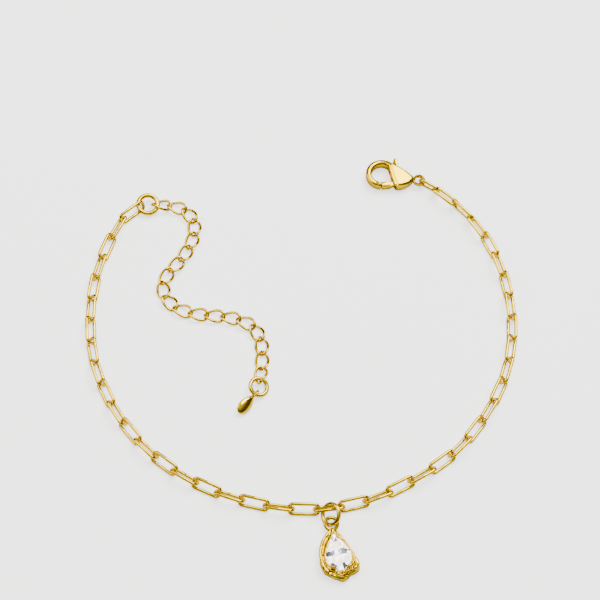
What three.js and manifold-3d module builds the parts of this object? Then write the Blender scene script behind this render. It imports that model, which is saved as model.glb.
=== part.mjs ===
// A fine gold-plated charm bracelet, lying open on a table. Millimetres, +Z up.
//
// A chain of forty oval "paperclip" links runs from a round end ring, round the wrist loop, to a
// lobster clasp with a sprung lever. A curb extender chain hangs from the end ring and carries a
// small leaf tag. A pear-cut stone in a rough cast setting hangs from the middle of the chain.

import * as THREE from 'three';
import { mergeVertices } from 'three/addons/utils/BufferGeometryUtils.js';
import Module from 'manifold-3d';

const wasm = await Module();
wasm.setup();

// ---------------------------------------------------------------- driving dimensions (mm, degrees)

// main chain
const LINK_COUNT = 40;
const LINK_PITCH = 4.1; // from joint to joint
const LINK_WIDTH = 1.8; // between the centres of the two long wires
const LINK_CORNER = 0.6; // bend radius of a link's corners, at the wire's centre
const LINK_WIRE = 0.28; // wire radius
const LINK_CLEARANCE = 0.01; // between a resting link and the table
const LINK_LEAN = 49; // a resting link leans this far, to alternate sides
const LAST_JOINT_HEIGHT = 1.2; // the last link is held up by the clasp's link
const WIRE_GAP = 0.1; // between two wires that hang in each other

// extender chain
const CURB_COUNT = 19;
const CURB_PITCH = 2.77;
const CURB_WIDTH = 2.04; // between wire centres
const CURB_WIRE = 0.24;
const CURB_TWIST = 44; // turn of each end of a link about its length
const CURB_END_TURN = 20; // extra turn of the first and last link, in their rings
const CURB_RISE = 0.185; // height of a resting twisted link's middle, as a share of its width
const CURB_FUSE = 0.1; // depth by which neighbours sink into each other, as one body
const CURB_END_LIFT = 0.28; // the last link's end rests on the tag ring's wire

// round rings
const END_RING_RADIUS = 1.68;
const END_RING_WIRE = 0.39;
const CHARM_RING_RADIUS = 1.7;
const CHARM_RING_WIRE = 0.34;
const TAG_RING_RADIUS = 1.46;
const TAG_RING_WIRE = 0.35;

// clasp
const CLASP_THICK = 2.1;
const CLASP_BEVEL = 0.45;
const HOOK_THICK = 1.65; // the hook is thinner than the cheeks
const NECK_THICK = 0.8; // where the cheeks narrow to the tail ring
const EYE_RADIUS = 1.75; // inside of the hook
const HOOK_RADIUS = 2.72; // outside of the hook
const TAIL_RING_RADIUS = 0.88;
const TAIL_RING_WIRE = 0.23;
const TAIL_RING_TALL = 1.5; // the tail ring's wire is this much taller than wide
const LEVER_THICK = 0.9;
const CHANNEL_THICK = 1.14; // slot between the cheeks, in which the lever turns
const GATE_THICK = 1.5;
const PIN_RADIUS = 0.3;
const PIN_HOLE = 0.4;
const CONNECTOR_WIRE = 0.27;
const CONNECTOR_WIDTH = 1.7;
const CONNECTOR_LEAN = -82;

// charm
const STONE_LENGTH = 6.3;
const STONE_WIDTH = 4.3;
const STONE_GIRDLE = 1.55; // height of the stone's edge above the table
const STONE_CROWN = 0.75;
const STONE_PAVILION = 1.3;
const STONE_SIDES = 14;
const GIRDLE_HALF = 0.07; // half the thickness of the stone's edge
const CULET_SHARE = 0.12; // the blunt bottom, as a share of the outline
const TABLE_SHARE = 0.55; // the table's size, as a share of the outline
const FRAME_HEIGHT = 1.9;
const FRAME_BEVEL = 0.35;
const HOLE_SHARE = 0.8; // opening under the stone, as a share of the stone's outline
const RECESS_SHARE = 1.08; // recess round the stone
const BAIL_RADIUS = 1.0;
const BAIL_WIRE = 0.3;
const BAIL_AT = { x: 0.1, y: 5.12, z: 1.1 }; // from the middle of the stone
const BAIL_TILT = 14; // the charm ring holds the bail's far side up
const SEAT_HEIGHT = 1.15; // ledge under the stone

// tag
const TAG_LENGTH = 3.9;
const TAG_WIDTH = 2.2;
const TAG_THICK = 1.2;
const TAG_EYE_RADIUS = 0.72;
const TAG_EYE_WIRE = 0.2;

// ---------------------------------------------------------------- where the pieces lie

// The line of the main chain on the table, from the end ring to the clasp's tail ring.
const CHAIN_LINE = [
  [-27.6, 30.2], [-30.5, 27.8], [-32.5, 24.0], [-34.9, 16.1], [-35.5, 8.0], [-34.5, -0.1],
  [-31.5, -7.7], [-26.9, -14.5], [-20.8, -20.0], [-13.4, -24.0], [-5.6, -26.3], [2.3, -27.0],
  [10.6, -25.5], [17.9, -22.0], [24.7, -17.3], [29.9, -11.0], [33.7, -3.6], [35.5, 4.3],
  [35.3, 12.3], [33.3, 20.4], [29.3, 27.7], [23.4, 33.5], [20.8, 35.3],
];

// The line of the extender chain, from the end ring to the tag ring.
const CURB_LINE = [
  [-25.5, 30.42], [-21.3, 30.25], [-18.9, 28.5], [-18.1, 25.6], [-20.1, 20.1], [-23.35, 16.0],
  [-23.5, 13.8], [-22.6, 11.5], [-20.6, 9.9], [-17.9, 9.1], [-12.3, 8.5], [-9.5, 7.7],
  [-7.2, 5.9], [-6.45, 3.1], [-6.45, 0.4], [-6.6, -2.3], [-6.9, -5.5],
];

// Links next to the end ring and the clasp are turned away from the usual lean.
const TURNED_LINKS = [
  { link: 1, extra: 16 },
  { link: 35, extra: 8 },
  { link: 37, extra: 12 },
  { link: 38, extra: 9 },
  { link: 39, extra: -135 },
  { link: 40, extra: 15 },
];

const END_RING_AT = { x: -26.48, y: 30.47, z: 1.02, pitch: 7.9, roll: -3.7 };
const CHARM_RING_AT = { x: 4.83, y: -28.09, z: 1.54, pitch: 20.2, roll: 41 };
const TAG_RING_AT = { x: -6.99, y: -4.79, z: 0.912, pitch: 10, roll: -19.9 };
const CLASP_AT = { x: 14.06, y: 36.45, heading: -10 };
const CHARM_AT = { x: 5.8, y: -34.6, heading: 11 };
const TAG_AT = { x: -9.09, y: -8.07, z: 0.89, heading: -38, roll: 40, eyeRoll: 80 };

// ---------------------------------------------------------------- materials

const gold = new THREE.MeshStandardMaterial({ color: 0xe0b75a, roughness: 0.18, metalness: 1 });
const clear = new THREE.MeshStandardMaterial({ color: 0xf1f4f8, roughness: 0.03, metalness: 0 });

// ---------------------------------------------------------------- solids and helpers

const radians = THREE.MathUtils.degToRad;

function toSolid(geometry) {
  const bare = geometry.clone();
  bare.deleteAttribute('normal');
  bare.deleteAttribute('uv');
  const merged = mergeVertices(bare, 1e-5);
  return new wasm.Manifold(new wasm.Mesh({
    numProp: 3,
    vertProperties: new Float32Array(merged.attributes.position.array),
    triVerts: new Uint32Array(merged.index.array),
  }));
}

function toGeometry(solid) {
  const mesh = solid.getMesh();
  const geometry = new THREE.BufferGeometry();
  geometry.setAttribute('position', new THREE.BufferAttribute(mesh.vertProperties, 3));
  geometry.setIndex(new THREE.BufferAttribute(mesh.triVerts, 1));
  geometry.computeVertexNormals();
  return geometry;
}

function named(name, geometry, material) {
  const mesh = new THREE.Mesh(geometry, material);
  mesh.name = name;
  return mesh;
}

// A torus whose centre line is re-drawn: centreAt(angle) gives the wire's centre, outward and upward.
function wireLoop(centreAt, wire, segments, sides) {
  const geometry = new THREE.TorusGeometry(1, wire, sides, segments);
  geometry.rotateZ(Math.PI / segments);
  const position = geometry.attributes.position;
  for (let i = 0; i < position.count; i++) {
    const angle = Math.atan2(position.getY(i), position.getX(i));
    const outward = Math.hypot(position.getX(i), position.getY(i)) - 1;
    const upward = position.getZ(i);
    const { centre, out, up } = centreAt(angle);
    const point = centre.clone().addScaledVector(out, outward).addScaledVector(up, upward);
    position.setXYZ(i, point.x, point.y, point.z);
  }
  return geometry;
}

// A wire bent to a rectangle with round corners, lying in the XY plane and long in X.
function oblongLoop(halfLength, halfWidth, corner, wire, segments, sides) {
  const centreAt = (angle) => {
    const out = new THREE.Vector3(Math.cos(angle), Math.sin(angle), 0);
    const centre = new THREE.Vector3(
      Math.sign(out.x) * (halfLength - corner) + out.x * corner,
      Math.sign(out.y) * (halfWidth - corner) + out.y * corner,
      0,
    );
    return { centre, out, up: new THREE.Vector3(0, 0, 1) };
  };
  return wireLoop(centreAt, wire, segments, sides);
}

// An oval loop whose two ends are twisted opposite ways about its length, as in a curb chain.
function twistedLoop(halfLength, halfWidth, twist, wire, segments, sides) {
  const centreAt = (angle) => {
    const along = halfLength * Math.cos(angle);
    const turn = (twist * along) / halfLength;
    const axis = new THREE.Vector3(1, 0, 0);
    const centre = new THREE.Vector3(along, halfWidth * Math.sin(angle), 0).applyAxisAngle(axis, turn);
    const out = new THREE.Vector3(Math.cos(angle), Math.sin(angle), 0).applyAxisAngle(axis, turn);
    const up = new THREE.Vector3(0, 0, 1).applyAxisAngle(axis, turn);
    return { centre, out, up };
  };
  return wireLoop(centreAt, wire, segments, sides);
}

function smoothLine(points) {
  const vectors = points.map(([x, y]) => new THREE.Vector3(x, y, 0));
  return new THREE.CatmullRomCurve3(vectors, false, 'centripetal').getPoints(1200);
}

// Joints laid along a line at equal straight steps, from its first point.
function stepAlong(line, pitch, count) {
  const joints = [line[0].clone()];
  for (const point of line) {
    const step = point.clone().sub(joints.at(-1));
    if (step.length() >= pitch && joints.length <= count) {
      joints.push(step.setLength(pitch).add(joints.at(-1)));
    }
  }
  return joints;
}

// Places a link between two joints: X runs from one to the other and the link leans about X.
function layBetween(object, from, to, lean) {
  const along = to.clone().sub(from).normalize();
  const side = new THREE.Vector3(0, 0, 1).cross(along).normalize();
  const up = along.clone().cross(side);
  object.quaternion.setFromRotationMatrix(new THREE.Matrix4().makeBasis(along, side, up));
  object.rotateX(radians(-lean));
  object.position.copy(from).add(to).multiplyScalar(0.5);
  return object;
}

function roundRing(name, radius, wire, at) {
  const ring = named(name, new THREE.TorusGeometry(radius, wire, 6, 16), gold);
  ring.rotation.set(radians(at.pitch), radians(-at.roll), 0, 'XYZ');
  ring.position.set(at.x, at.y, at.z);
  return ring;
}

// ---------------------------------------------------------------- main chain

// Odd links lean towards the inside of the loop, even links away from it.
function leanOf(link) {
  const extra = TURNED_LINKS.find((row) => row.link === link)?.extra ?? 0;
  return (link % 2 ? LINK_LEAN : -LINK_LEAN) + extra;
}

// The lowest height at which a leaning link's centre can lie on the table.
function restHeight(link) {
  return (LINK_WIDTH / 2) * Math.abs(Math.sin(radians(leanOf(link)))) + LINK_WIRE + LINK_CLEARANCE;
}

function chainJoints() {
  const joints = stepAlong(smoothLine(CHAIN_LINE), LINK_PITCH, LINK_COUNT);
  joints.forEach((joint, j) => {
    const before = j > 0 ? restHeight(j) : 0;
    const after = j < LINK_COUNT ? restHeight(j + 1) : 0;
    joint.z = Math.max(before, after);
  });
  joints[LINK_COUNT].z = LAST_JOINT_HEIGHT;
  return joints;
}

function mainChain(joints) {
  const halfLength = (LINK_PITCH + WIRE_GAP) / 2 + LINK_WIRE;
  const shape = oblongLoop(halfLength, LINK_WIDTH / 2, LINK_CORNER, LINK_WIRE, 12, 6);
  const links = [];
  for (let n = 1; n <= LINK_COUNT; n++) {
    const link = named(`link_${String(n).padStart(2, '0')}`, shape, gold);
    links.push(layBetween(link, joints[n - 1], joints[n], leanOf(n)));
  }
  return links;
}

// ---------------------------------------------------------------- extender chain

function curbJoints() {
  const joints = stepAlong(smoothLine(CURB_LINE), CURB_PITCH, CURB_COUNT);
  joints.forEach((joint) => { joint.z = CURB_WIRE + CURB_WIDTH * CURB_RISE; });
  joints[0].z = END_RING_AT.z;
  joints[CURB_COUNT].z = TAG_RING_AT.z + CURB_END_LIFT;
  return joints;
}

function extenderChain(joints) {
  const halfLength = CURB_PITCH / 2 + CURB_WIRE - CURB_FUSE / 2;
  const twist = radians(CURB_TWIST);
  const shape = twistedLoop(halfLength, CURB_WIDTH / 2, twist, CURB_WIRE, 12, 5);
  const chain = [];
  for (let n = 1; n <= CURB_COUNT; n++) {
    const lean = CURB_END_TURN * ((n === 1) - (n === CURB_COUNT));
    const link = layBetween(new THREE.Object3D(), joints[n - 1], joints[n], lean);
    link.updateMatrix();
    chain.push(toSolid(shape.clone().applyMatrix4(link.matrix)));
  }
  return named('extender_chain', toGeometry(wasm.Manifold.union(chain)), gold);
}

// ---------------------------------------------------------------- clasp

// A flat plate drawn from a shape, with its two edges bevelled, centred on z = 0.
function bevelledPlate(shape, thick, bevel, curveSegments) {
  const corners = shape.getPoints(curveSegments);
  const apart = corners.filter((p, k) => p.distanceTo(corners.at(k - 1)) > 0.01);
  const geometry = new THREE.ExtrudeGeometry(new THREE.Shape(apart), {
    depth: thick - 2 * bevel,
    bevelEnabled: bevel > 0,
    bevelThickness: bevel,
    bevelSize: bevel * 0.8,
    bevelOffset: -bevel * 0.8,
    bevelSegments: 2,
  });
  return geometry.translate(0, 0, -thick / 2 + bevel);
}

// Clasp frame: origin at the centre of the hook's eye, +X to the tail ring, +Y to the spine.
const TAIL_X = 6.62; // centre of the tail ring
const PIVOT = { x: 3.3, y: -0.5 };
const FRONT_TOP = { x: 0.85, y: 1.5 }; // the cheeks' front edge, across the eye
const FRONT_FOOT = { x: 2.75, y: -2.3 };
const TIP_OUTSIDE = 279.3; // where the hook's outside and inside end, round the eye: both are
const TIP_INSIDE = 267.5; // 3.6 from the pivot, so that the gate swings past the end face

function claspOutline() {
  const shoulder = radians(62);
  const shape = new THREE.Shape();
  shape.moveTo(FRONT_FOOT.x, FRONT_FOOT.y);
  shape.quadraticCurveTo(4.75, -2.1, 5.65, -0.45);
  shape.lineTo(5.9, -0.38);
  shape.lineTo(5.9, 0.34);
  shape.lineTo(5.6, 0.36);
  const top = new THREE.Vector2(Math.cos(shoulder), Math.sin(shoulder)).multiplyScalar(HOOK_RADIUS);
  shape.quadraticCurveTo(3.65, 1.5, top.x, top.y);
  shape.absarc(0, 0, HOOK_RADIUS, shoulder, radians(TIP_OUTSIDE), false);
  shape.absarc(0, 0, EYE_RADIUS, radians(TIP_INSIDE), Math.atan2(FRONT_TOP.y, FRONT_TOP.x), true);
  shape.closePath();
  return shape;
}

// The two corners of the gate's end face are 3.44 from the pivot.
function leverOutline() {
  const shape = new THREE.Shape();
  shape.moveTo(0.136, -1.85);
  shape.splineThru([new THREE.Vector2(1.2, -1.6), new THREE.Vector2(2.3, -0.6)]);
  shape.lineTo(2.2, 0.6);
  shape.lineTo(1.6, 2.4);
  shape.lineTo(1.6, 3.1);
  shape.absarc(1.98, 3.17, 0.38, Math.PI, 0, true);
  shape.lineTo(2.5, 2.4);
  shape.lineTo(3.3, 0.3);
  shape.absarc(PIVOT.x, PIVOT.y, 0.8, Math.PI / 2, -Math.PI / 2, true);
  shape.splineThru([new THREE.Vector2(2.2, -2.0), new THREE.Vector2(0.575, -2.6)]);
  shape.closePath();
  return shape;
}

function channelOutline() {
  const shape = new THREE.Shape();
  shape.moveTo(0.5, -3.2);
  shape.lineTo(2.9, -3.2);
  shape.lineTo(3.1, -1.6);
  shape.absarc(PIVOT.x, PIVOT.y, 1.0, radians(-100), radians(20), false);
  shape.lineTo(4.0, 3.6);
  shape.lineTo(1.35, 3.6);
  shape.lineTo(1.35, 1.2);
  shape.lineTo(0.5, 1.2);
  shape.closePath();
  return shape;
}

// The clasp seen from its side: a thin hook, thick cheeks and a thin neck.
function claspProfile() {
  const half = [
    [-4, HOOK_THICK / 2], [-0.2, HOOK_THICK / 2], [1.4, CLASP_THICK / 2], [4.3, CLASP_THICK / 2],
    [5.9, NECK_THICK / 2], [8, NECK_THICK / 2],
  ];
  const under = half.map(([x, z]) => [x, -z]).reverse();
  const shape = new THREE.Shape([...half, ...under].map(([x, z]) => new THREE.Vector2(x, z)));
  const geometry = new THREE.ExtrudeGeometry(shape, { depth: 10, bevelEnabled: false });
  return geometry.translate(0, 0, -5).rotateX(Math.PI / 2);
}

function column(radius, height, sides, x, y) {
  const geometry = new THREE.CylinderGeometry(radius, radius, height, sides);
  return geometry.rotateX(Math.PI / 2).translate(x, y, 0);
}

function claspBody() {
  const plate = toSolid(bevelledPlate(claspOutline(), CLASP_THICK, CLASP_BEVEL, 6))
    .intersect(toSolid(claspProfile()));
  const channel = toSolid(bevelledPlate(channelOutline(), CHANNEL_THICK, 0, 4));
  const pin = toSolid(column(PIN_RADIUS, CLASP_THICK - CLASP_BEVEL, 10, PIVOT.x, PIVOT.y));
  const ringShape = new THREE.TorusGeometry(TAIL_RING_RADIUS, TAIL_RING_WIRE, 8, 16);
  const tailRing = toSolid(ringShape.scale(1, 1, TAIL_RING_TALL).translate(TAIL_X, 0, 0));
  const tailHole = toSolid(column(TAIL_RING_RADIUS - TAIL_RING_WIRE, CLASP_THICK, 16, TAIL_X, 0));
  const body = plate.subtract(tailHole).add(tailRing).subtract(channel).add(pin);
  return named('clasp_body', toGeometry(body), gold);
}

// The thick outer part of the gate, which closes the eye between the hook's tip and the cheeks.
function gateOutline() {
  const shape = new THREE.Shape();
  shape.moveTo(0.575, -2.6);
  shape.lineTo(1.95, -2.2);
  shape.lineTo(1.75, -1.25);
  shape.lineTo(1.2, -1.6);
  shape.lineTo(0.136, -1.85);
  shape.closePath();
  return shape;
}

function claspLever() {
  const blade = toSolid(bevelledPlate(leverOutline(), LEVER_THICK, 0, 4));
  const gate = toSolid(bevelledPlate(gateOutline(), GATE_THICK, 0.15, 1));
  const hole = toSolid(column(PIN_HOLE, 3, 12, PIVOT.x, PIVOT.y));
  return named('clasp_lever', toGeometry(blade.add(gate).subtract(hole)), gold);
}

function clasp() {
  const group = new THREE.Group();
  group.add(claspBody(), claspLever());
  group.rotation.z = radians(CLASP_AT.heading);
  group.position.set(CLASP_AT.x, CLASP_AT.y, CLASP_THICK / 2);
  return group;
}

// The short steep link between the clasp's tail ring and the last chain link.
function claspLink(lastJoint) {
  const heading = radians(CLASP_AT.heading);
  const tail = new THREE.Vector3(
    CLASP_AT.x + TAIL_X * Math.cos(heading),
    CLASP_AT.y + TAIL_X * Math.sin(heading),
    CLASP_THICK / 2,
  );
  const from = lastJoint.clone();
  const along = tail.clone().sub(from).normalize();
  const start = from.clone().addScaledVector(along, -(WIRE_GAP + CONNECTOR_WIRE));
  const end = tail.clone().addScaledVector(along, -TAIL_RING_RADIUS + TAIL_RING_WIRE)
    .addScaledVector(along, CONNECTOR_WIRE + WIRE_GAP);
  const halfLength = start.distanceTo(end) / 2;
  const shape = oblongLoop(halfLength, CONNECTOR_WIDTH / 2, 0.7, CONNECTOR_WIRE, 14, 6);
  return layBetween(named('clasp_link', shape, gold), start, end, CONNECTOR_LEAN);
}

// ---------------------------------------------------------------- charm

// Outline of a pear-cut stone: its point at +Y. angle runs from the point and round.
function pearPoint(angle, share) {
  const across = (STONE_WIDTH / 2 / 0.77) * Math.sin(angle) * Math.abs(Math.sin(angle / 2));
  return new THREE.Vector2(-across * share, (STONE_LENGTH / 2) * Math.cos(angle) * share);
}

function pearRing(share) {
  const points = [];
  for (let k = 0; k < STONE_SIDES; k++) {
    points.push(pearPoint((2 * Math.PI * k) / STONE_SIDES, share));
  }
  return points;
}

// Rings of corners, one above the other, closed by a flat top and bottom.
function facetedSolid(rings) {
  const sides = rings[0].length;
  const positions = rings.flat().flatMap((p) => [p.x, p.y, p.z]);
  const index = [];
  for (let r = 0; r + 1 < rings.length; r++) {
    for (let k = 0; k < sides; k++) {
      const a = r * sides + k;
      const b = r * sides + ((k + 1) % sides);
      index.push(a, b, a + sides, b, b + sides, a + sides);
    }
  }
  const top = (rings.length - 1) * sides;
  for (let k = 1; k + 1 < sides; k++) {
    index.push(0, k + 1, k);
    index.push(top, top + k, top + k + 1);
  }
  const geometry = new THREE.BufferGeometry();
  geometry.setAttribute('position', new THREE.Float32BufferAttribute(positions, 3));
  geometry.setIndex(index);
  geometry.computeVertexNormals();
  return geometry;
}

function stone() {
  const rows = [
    { share: CULET_SHARE, z: -STONE_PAVILION },
    { share: 1, z: -GIRDLE_HALF },
    { share: 1, z: GIRDLE_HALF },
    { share: TABLE_SHARE, z: STONE_CROWN },
  ];
  const rings = rows.map(({ share, z }) => (
    pearRing(share).map((p) => new THREE.Vector3(p.x, p.y, STONE_GIRDLE + z))
  ));
  return named('stone', facetedSolid(rings), clear);
}

// The rough outer edge of the cast frame, from its point round by the left side.
const FRAME_EDGE = [
  [-0.3, 4.1], [-1.5, 3.0], [-2.1, 2.3], [-2.6, 1.3], [-2.85, 0.0], [-3.0, -1.2], [-2.9, -2.3],
  [-2.5, -3.1], [-1.8, -3.7], [-1.0, -4.2], [-0.3, -4.65], [0.3, -4.8], [0.9, -4.5], [1.4, -4.0],
  [2.2, -3.85], [2.9, -3.5], [3.15, -2.8], [3.0, -1.9], [2.7, -0.7], [2.35, 0.4], [1.9, 1.6],
  [1.4, 2.6], [0.7, 3.6], [0.3, 4.1],
];

function charmSetting() {
  const edge = new THREE.Shape(FRAME_EDGE.map(([x, y]) => new THREE.Vector2(x, y)));
  const plate = bevelledPlate(edge, FRAME_HEIGHT, FRAME_BEVEL, 1);
  const through = bevelledPlate(new THREE.Shape(pearRing(HOLE_SHARE)), 3 * FRAME_HEIGHT, 0, 1);
  const recess = bevelledPlate(new THREE.Shape(pearRing(RECESS_SHARE)), 2 * FRAME_HEIGHT, 0, 1);
  const bail = new THREE.TorusGeometry(BAIL_RADIUS, BAIL_WIRE, 6, 16);
  const solid = toSolid(plate.translate(0, 0, FRAME_HEIGHT / 2))
    .subtract(toSolid(through))
    .subtract(toSolid(recess.translate(0, 0, SEAT_HEIGHT + FRAME_HEIGHT)))
    .add(toSolid(bail.rotateX(radians(BAIL_TILT)).translate(BAIL_AT.x, BAIL_AT.y, BAIL_AT.z)));
  return named('charm_setting', toGeometry(solid), gold);
}

function charm() {
  const group = new THREE.Group();
  group.add(charmSetting(), stone());
  group.rotation.z = radians(CHARM_AT.heading);
  group.position.set(CHARM_AT.x, CHARM_AT.y, 0);
  return group;
}

// ---------------------------------------------------------------- end tag

// A swollen leaf: rings of one drop-shaped outline, widest at mid thickness.
function leaf() {
  const rows = [
    { share: 0.35, z: -0.5 },
    { share: 0.8, z: -0.3 },
    { share: 1, z: 0 },
    { share: 0.8, z: 0.3 },
    { share: 0.35, z: 0.5 },
  ];
  return facetedSolid(rows.map(({ share, z }) => {
    const ring = [];
    for (let k = 0; k < 16; k++) {
      const angle = (2 * Math.PI * (k + 0.5)) / 16;
      const across = (TAG_WIDTH / 2) * 1.14 * Math.sin(angle) * Math.sqrt(Math.sin(angle / 2));
      const along = (TAG_LENGTH / 2) * Math.cos(angle);
      ring.push(new THREE.Vector3(-across * share, along * share, z * TAG_THICK));
    }
    return ring;
  }));
}

function endTag() {
  const eyeAt = TAG_LENGTH / 2 + TAG_EYE_RADIUS - 0.2;
  const eye = new THREE.TorusGeometry(TAG_EYE_RADIUS, TAG_EYE_WIRE, 6, 12);
  const upright = eye.rotateY(radians(TAG_AT.eyeRoll)).translate(0, eyeAt, 0);
  const tag = named('end_tag', toGeometry(toSolid(leaf()).add(toSolid(upright))), gold);
  tag.rotation.set(0, radians(TAG_AT.roll), radians(TAG_AT.heading), 'ZYX');
  tag.position.set(TAG_AT.x, TAG_AT.y, TAG_AT.z);
  return tag;
}

// ---------------------------------------------------------------- the whole bracelet

function bracelet() {
  const joints = chainJoints();
  const all = new THREE.Group();
  all.add(...mainChain(joints));
  all.add(claspLink(joints[LINK_COUNT]), clasp());
  all.add(roundRing('end_ring', END_RING_RADIUS, END_RING_WIRE, END_RING_AT));
  all.add(extenderChain(curbJoints()));
  all.add(roundRing('tag_ring', TAG_RING_RADIUS, TAG_RING_WIRE, TAG_RING_AT), endTag());
  all.add(roundRing('charm_ring', CHARM_RING_RADIUS, CHARM_RING_WIRE, CHARM_RING_AT), charm());

  // The origin is the middle of the bracelet's footprint, on the table.
  const box = new THREE.Box3().setFromObject(all, true);
  const middle = box.getCenter(new THREE.Vector3());
  all.position.set(-middle.x, -middle.y, -box.min.z);
  const whole = new THREE.Group();
  whole.add(all);
  return whole;
}

export default bracelet();
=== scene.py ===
# %% [markdown]
# # A fine charm bracelet
# The real object is a gold-plated chain of forty oval links that lies open on a table. One end has a
# lobster clasp, the other a round ring with a short curb extender and a leaf tag. A clear pear-cut
# stone in a rough cast setting hangs from the middle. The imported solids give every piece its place;
# this lesson dresses each of them in a finer form and a polished finish.

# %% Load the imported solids
import math

import bmesh
import bpy
import numpy as np
from mathutils import Matrix, Vector


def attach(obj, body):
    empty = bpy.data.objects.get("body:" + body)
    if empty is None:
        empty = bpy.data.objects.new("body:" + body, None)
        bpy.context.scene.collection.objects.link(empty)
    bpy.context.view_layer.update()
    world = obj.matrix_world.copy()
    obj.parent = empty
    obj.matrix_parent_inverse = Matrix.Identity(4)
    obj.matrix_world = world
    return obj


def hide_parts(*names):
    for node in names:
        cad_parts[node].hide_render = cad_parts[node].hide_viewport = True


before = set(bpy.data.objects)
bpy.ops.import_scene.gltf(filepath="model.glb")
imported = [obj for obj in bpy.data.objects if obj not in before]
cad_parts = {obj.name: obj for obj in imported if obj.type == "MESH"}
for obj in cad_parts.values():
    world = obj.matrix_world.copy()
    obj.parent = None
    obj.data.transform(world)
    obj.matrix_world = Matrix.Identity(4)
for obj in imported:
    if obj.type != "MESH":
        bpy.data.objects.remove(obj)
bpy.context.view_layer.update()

MM = 0.001


# %% [markdown]
# ## The workbench
# Jewellery is tiny, and many of Blender's tools have thresholds made for larger things. So every
# piece is shaped at one unit to the millimetre and shrunk to metres when it is done. The helpers
# below are the handful of moves that a modeller repeats: put one piece on the bench, select some of
# its corners, pull, cut, and lay the finished piece where its solid lies. Each piece's place ends up
# in its mesh, because a finished piece's own origin stays at the middle of the scene.

# %% Bench helpers
def clear_bench():
    """Leaves edit mode and deselects everything."""
    if bpy.context.object and bpy.context.object.mode != "OBJECT":
        bpy.ops.object.mode_set(mode="OBJECT")
    bpy.ops.object.select_all(action="DESELECT")


def take(piece):
    """Selects one piece alone and makes it the active one."""
    clear_bench()
    piece.select_set(True)
    bpy.context.view_layer.objects.active = piece


def fresh(name):
    """Names the primitive that was just added."""
    piece = bpy.context.object
    piece.name = name
    piece.data.name = name
    return piece


def edit(piece):
    """Opens a piece in edit mode with all its corners selected."""
    take(piece)
    bpy.ops.object.mode_set(mode="EDIT")
    bpy.ops.mesh.select_mode(type="VERT")
    bpy.ops.mesh.select_all(action="SELECT")


def choose(piece, test):
    """In edit mode, selects the corners for which test(place) is true."""
    bpy.ops.mesh.select_all(action="DESELECT")
    mesh = bmesh.from_edit_mesh(piece.data)
    for corner in mesh.verts:
        corner.select_set(bool(test(corner.co)))
    mesh.select_flush_mode()
    bmesh.update_edit_mesh(piece.data)


def done():
    """Closes edit mode."""
    bpy.ops.object.mode_set(mode="OBJECT")


def modify(piece, kind, **settings):
    """Adds a modifier to a piece, sets it and applies it."""
    take(piece)
    modifier = piece.modifiers.new(kind.lower(), kind)
    for name, value in settings.items():
        setattr(modifier, name, value)
    bpy.ops.object.modifier_apply(modifier=modifier.name)


def combine(piece, tool, operation):
    """Joins another solid to a piece or cuts it away. The other one is used up."""
    modify(piece, "BOOLEAN", object=tool, operation=operation, solver="MANIFOLD")
    bpy.data.objects.remove(tool)


def copy_of(piece, name):
    """A copy with a mesh of its own."""
    twin = piece.copy()
    twin.data = piece.data.copy()
    twin.name = twin.data.name = name
    bpy.context.collection.objects.link(twin)
    return twin


def lay_down(piece, place, node, finish, body="bracelet", angle=35):
    """Moves a piece from the bench to its place, gives it its finish, ties it to its body and hides
    its solid.
    """
    piece.data.transform(Matrix.Scale(MM, 4) @ place)
    take(piece)
    bpy.ops.object.shade_smooth_by_angle(angle=math.radians(angle))
    piece.data.materials.clear()
    piece.data.materials.append(finish)
    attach(piece, body)
    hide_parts(node)
    return piece


# %% [markdown]
# ## Where the solids lie
# A link or ring has three directions: its length, its width, and the way its flat side faces. They
# are found from the solid's own corners, as the axes along which the corners spread most and least.
# A loop looks the same when it is turned over, so it doesn't matter which way an axis points.

# %% Reading a solid's place
def corners_of(node):
    """A solid's different corners, in millimetres."""
    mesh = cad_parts[node].data
    flat = np.empty(3 * len(mesh.vertices))
    mesh.vertices.foreach_get("co", flat)
    return np.unique(np.round(flat.reshape(-1, 3) / MM, 4), axis=0)


def lie_of(node):
    """Where a loop lies: X along it, Y across it, Z the way its flat side faces."""
    corners = corners_of(node)
    middle = corners.mean(axis=0)
    along, across, _ = np.linalg.svd(corners - middle, full_matrices=False)[2]
    facing = np.cross(along, across)
    place = Matrix.Identity(4)
    for column, axis in enumerate((along, across, facing, middle)):
        for row in range(3):
            place[row][column] = axis[row]
    return place


END_RING_AT = Vector((-26.48, 30.47, 1.02))
# In model.glb the whole bracelet is moved to its own middle, and the end ring shows how far.
origin = Vector(np.mean(corners_of("end_ring"), axis=0)) - END_RING_AT
print("places are counted from", [round(c, 3) for c in origin])


def standing(x, y, z, heading):
    """A place on the table, turned about the vertical."""
    turn = Matrix.Rotation(math.radians(heading), 4, "Z")
    return Matrix.Translation(origin + Vector((x, y, z))) @ turn


# %% [markdown]
# ## Polished gold plate
# Plated jewellery is nearly a mirror. What makes it look real is small: the polish isn't even, fine
# rubbing marks blur a highlight here and there, and the plating's colour drifts a little. All gold
# pieces share these effects, so they are one node group, with sockets for how coarse and how deep
# the marks are, and for how smooth the metal is where it is polished and where it is rubbed. The
# group puts out a tint mask, a roughness and a normal.
#
# Every finish here is a small tree of nodes, so four helpers come first: one fills in a node's
# sockets, one adds a node, one starts a material, and one joins sockets in pairs.

# %% Material helpers
def fill_in(node, values):
    """Sets a node's input sockets by name."""
    for socket, value in values.items():
        node.inputs[socket].default_value = value
    return node


def add_node(tree, kind, values=None, **settings):
    """Adds a shader node, applies its settings and fills in its sockets."""
    node = tree.nodes.new("ShaderNode" + kind)
    for name, value in settings.items():
        setattr(node, name, value)
    return fill_in(node, values or {})


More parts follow.
